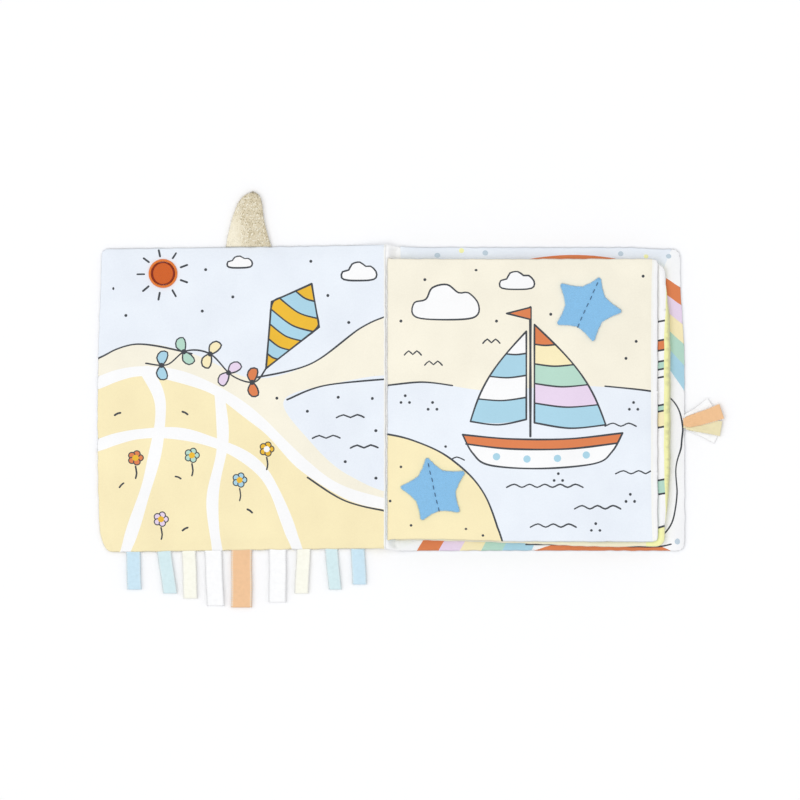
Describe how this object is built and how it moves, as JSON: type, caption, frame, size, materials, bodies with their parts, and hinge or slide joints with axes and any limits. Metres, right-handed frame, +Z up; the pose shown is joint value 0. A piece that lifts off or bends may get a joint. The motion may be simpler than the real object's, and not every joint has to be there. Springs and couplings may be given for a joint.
{
  "type": "crinkle cloth book",
  "caption": "Soft padded cloth book lying open, with crinkle film leaves, felt stars, folded ribbon tags, a padded tab and gathered tail ribbons.",
  "frame": {"origin": "on the table under the middle of the spine strip's flat underside", "axes": "+Z up, +Y along the spine towards the padded tab's edge, +X across the back cover towards its fore-edge"},
  "size_m": [0.3664, 0.2436, 0.0136],
  "materials": {
    "lining_yellow": "smooth printed cloth",
    "lining_ice": "smooth printed cloth",
    "leaf_ice": "smooth printed cloth",
    "leaf_cream": "smooth printed cloth",
    "leaf_lemon": "smooth printed cloth",
    "cover_print": "smooth printed cloth",
    "spine_cloth": "smooth white cloth",
    "wadding": "polyester wadding",
    "film": "crinkle film",
    "felt": "pressed felt",
    "thread": "sewing thread",
    "patch_felt": "pressed felt",
    "patch_thread": "satin stitch",
    "tab_plush": "short plush with a sparkle thread",
    "ribbon_blue": "satin ribbon",
    "ribbon_teal": "satin ribbon",
    "ribbon_yellow": "satin ribbon",
    "ribbon_white": "satin ribbon",
    "ribbon_orange": "ribbed ribbon",
    "ribbon_green": "satin ribbon"
  },
  "bodies": {
    "back_cover": {"back_cover_outer": "cover_print", "back_cover_batting": "wadding", "back_cover_film": "film", "back_cover_inner": "lining_ice"},
    "spine": {"spine_strip": "spine_cloth"},
    "front_cover": {"front_cover_outer": "cover_print", "front_cover_batting": "wadding", "front_cover_film": "film", "front_cover_inner": "lining_yellow", "disc_patch": "patch_felt", "disc_patch_ring": "patch_thread"},
    "leaf_2": {"leaf_2_back": "leaf_lemon", "leaf_2_film": "film", "leaf_2_front": "leaf_cream"},
    "leaf_1": {"leaf_1_back": "leaf_cream", "leaf_1_film": "film", "leaf_1_front": "leaf_ice", "star_upper": "felt", "star_upper_stitch_1": "thread", "star_upper_stitch_2": "thread", "star_upper_stitch_3": "thread", "star_upper_stitch_4": "thread", "star_upper_stitch_5": "thread", "star_upper_stitch_6": "thread", "star_upper_stitch_7": "thread", "star_lower": "felt", "star_lower_stitch_1": "thread", "star_lower_stitch_2": "thread", "star_lower_stitch_3": "thread", "star_lower_stitch_4": "thread", "star_lower_stitch_5": "thread", "star_lower_stitch_6": "thread", "star_lower_stitch_7": "thread"},
    "tag_1_ribbon": {"tag_1": "ribbon_blue"},
    "tag_2_ribbon": {"tag_2": "ribbon_teal"},
    "tag_3_ribbon": {"tag_3": "ribbon_yellow"},
    "tag_4_ribbon": {"tag_4": "ribbon_white"},
    "tag_5_ribbon": {"tag_5": "ribbon_orange"},
    "tag_6_ribbon": {"tag_6": "ribbon_white"},
    "tag_7_ribbon": {"tag_7": "ribbon_yellow"},
    "tag_8_ribbon": {"tag_8": "ribbon_teal"},
    "tag_9_ribbon": {"tag_9": "ribbon_blue"},
    "tab": {"tab_front": "tab_plush", "tab_back": "tab_plush", "tab_filling": "wadding"},
    "tail": {"tail_ribbon_white_lower": "ribbon_white", "tail_ribbon_white_upper": "ribbon_white", "tail_ribbon_green": "ribbon_green", "tail_ribbon_orange": "ribbon_orange"}
  },
  "joints": [
    {"name": "front_cover_fold", "type": "hinge", "parent": "back_cover", "child": "front_cover", "pos_m": [0, 0, 0.00945], "axis": [0, 1, 0], "range_deg": [0, 180]},
    {"name": "spine_fold", "type": "hinge", "parent": "back_cover", "child": "spine", "pos_m": [0, 0, 0.00945], "axis": [0, 1, 0], "range_deg": [0, 90]},
    {"name": "leaf_2_turn", "type": "hinge", "parent": "back_cover", "child": "leaf_2", "pos_m": [0, 0, 0.00945], "axis": [0, 1, 0], "range_deg": [-180, 0]},
    {"name": "leaf_1_turn", "type": "hinge", "parent": "leaf_2", "child": "leaf_1", "pos_m": [0, 0, 0.00945], "axis": [0, 1, 0], "range_deg": [-180, 0]},
    {"name": "tag_1_flop", "type": "hinge", "parent": "front_cover", "child": "tag_1_ribbon", "pos_m": [-0.15271, -0.09001, 0.0027], "axis": [1, 0, 0], "range_deg": [-90, 0]},
    {"name": "tag_2_flop", "type": "hinge", "parent": "front_cover", "child": "tag_2_ribbon", "pos_m": [-0.13457, -0.08981, 0.0027], "axis": [1, 0, 0], "range_deg": [-90, 0]},
    {"name": "tag_3_flop", "type": "hinge", "parent": "front_cover", "child": "tag_3_ribbon", "pos_m": [-0.12012, -0.0897, 0.0027], "axis": [1, 0, 0], "range_deg": [-90, 0]},
    {"name": "tag_4_flop", "type": "hinge", "parent": "front_cover", "child": "tag_4_ribbon", "pos_m": [-0.10567, -0.08963, 0.0027], "axis": [1, 0, 0], "range_deg": [-90, 0]},
    {"name": "tag_5_flop", "type": "hinge", "parent": "front_cover", "child": "tag_5_ribbon", "pos_m": [-0.08904, -0.0896, 0.0027], "axis": [1, 0, 0], "range_deg": [-90, 0]},
    {"name": "tag_6_flop", "type": "hinge", "parent": "front_cover", "child": "tag_6_ribbon", "pos_m": [-0.06787, -0.08964, 0.0027], "axis": [1, 0, 0], "range_deg": [-90, 0]},
    {"name": "tag_7_flop", "type": "hinge", "parent": "front_cover", "child": "tag_7_ribbon", "pos_m": [-0.05258, -0.08973, 0.0027], "axis": [1, 0, 0], "range_deg": [-90, 0]},
    {"name": "tag_8_flop", "type": "hinge", "parent": "front_cover", "child": "tag_8_ribbon", "pos_m": [-0.03612, -0.08987, 0.0027], "axis": [1, 0, 0], "range_deg": [-90, 0]},
    {"name": "tag_9_flop", "type": "hinge", "parent": "front_cover", "child": "tag_9_ribbon", "pos_m": [-0.02066, -0.09005, 0.0027], "axis": [1, 0, 0], "range_deg": [-90, 0]},
    {"name": "tab_flop", "type": "hinge", "parent": "front_cover", "child": "tab", "pos_m": [-0.08442, 0.0896, 0.00285], "axis": [-1, 0, 0], "range_deg": [-90, 0]},
    {"name": "tail_flop", "type": "hinge", "parent": "back_cover", "child": "tail", "pos_m": [0.17182, -0.01413, 0.0035], "axis": [0, 1, 0], "range_deg": [-90, 0]}
  ],
  "couplings": [
    {"joint": "spine_fold", "follows": "front_cover_fold", "ratio": 0.5}
  ]
}
